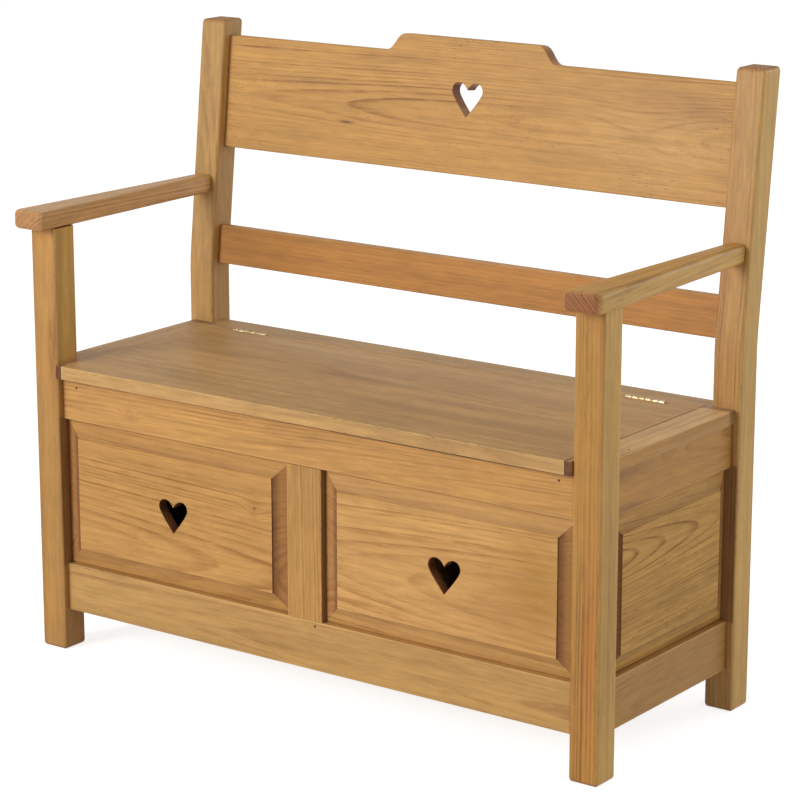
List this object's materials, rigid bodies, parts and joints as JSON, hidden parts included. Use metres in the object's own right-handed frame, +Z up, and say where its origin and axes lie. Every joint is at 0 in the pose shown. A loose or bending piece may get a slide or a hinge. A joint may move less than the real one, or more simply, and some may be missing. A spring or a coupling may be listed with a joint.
{
  "type": "settle bench",
  "caption": "Free-standing pine settle bench: a panelled chest with a lift-up hinged seat, arm rests and a leaning open back with pierced hearts.",
  "frame": {"origin": "on the floor under the middle of the whole bench", "axes": "+X to the right seen from the front, +Y from the front to the back, +Z up"},
  "size_m": [0.999, 0.4662, 0.9047],
  "materials": {
    "pine_face": "waxed honey pine",
    "pine_seat": "waxed honey pine, worn on the seat",
    "pine_side": "waxed honey pine",
    "pine_raw": "planed pine, unfinished",
    "brass": "polished",
    "nail": "dull"
  },
  "bodies": {
    "frame": {"arm_left": "pine_seat", "arm_right": "pine_seat", "box_floor": "pine_raw", "crest_rail": "pine_face", "floor_cleat_front": "pine_raw", "floor_cleat_left": "pine_raw", "floor_cleat_rear": "pine_raw", "floor_cleat_right": "pine_raw", "frame_screw_left_1": "brass", "frame_screw_left_2": "brass", "frame_screw_left_3": "brass", "frame_screw_right_1": "brass", "frame_screw_right_2": "brass", "frame_screw_right_3": "brass", "front_bottom_rail": "pine_face", "front_muntin": "pine_face", "front_panel_left": "pine_face", "front_panel_right": "pine_face", "front_post_left": "pine_face", "front_post_right": "pine_face", "front_top_rail": "pine_face", "hinge_frame_leaf_left": "brass", "hinge_frame_leaf_right": "brass", "hinge_pin_left": "brass", "hinge_pin_right": "brass", "lower_back_rail": "pine_face", "muntin_brad": "nail", "rail_brad_left": "nail", "rail_brad_right": "nail", "rear_bottom_rail": "pine_face", "rear_panel": "pine_raw", "rear_post_left": "pine_face", "rear_post_right": "pine_face", "rear_top_rail": "pine_face", "seat_rear_board": "pine_seat", "seat_strip_left": "pine_seat", "seat_strip_right": "pine_seat", "side_bottom_rail_left": "pine_side", "side_bottom_rail_right": "pine_side", "side_panel_left": "pine_side", "side_panel_right": "pine_side", "side_top_rail_left": "pine_side", "side_top_rail_right": "pine_side", "strip_brad_left": "nail", "strip_brad_right": "nail"},
    "lid": {"hinge_lid_leaf_left": "brass", "hinge_lid_leaf_right": "brass", "lid_batten_left": "pine_raw", "lid_batten_right": "pine_raw", "lid_screw_left_1": "brass", "lid_screw_left_2": "brass", "lid_screw_left_3": "brass", "lid_screw_right_1": "brass", "lid_screw_right_2": "brass", "lid_screw_right_3": "brass", "seat_lid": "pine_seat"}
  },
  "joints": [
    {"name": "lid_hinge", "type": "hinge", "parent": "frame", "child": "lid", "pos_m": [0, 0.12592, 0.438], "axis": [-1, 0, 0], "range_deg": [0, 100.5]}
  ]
}
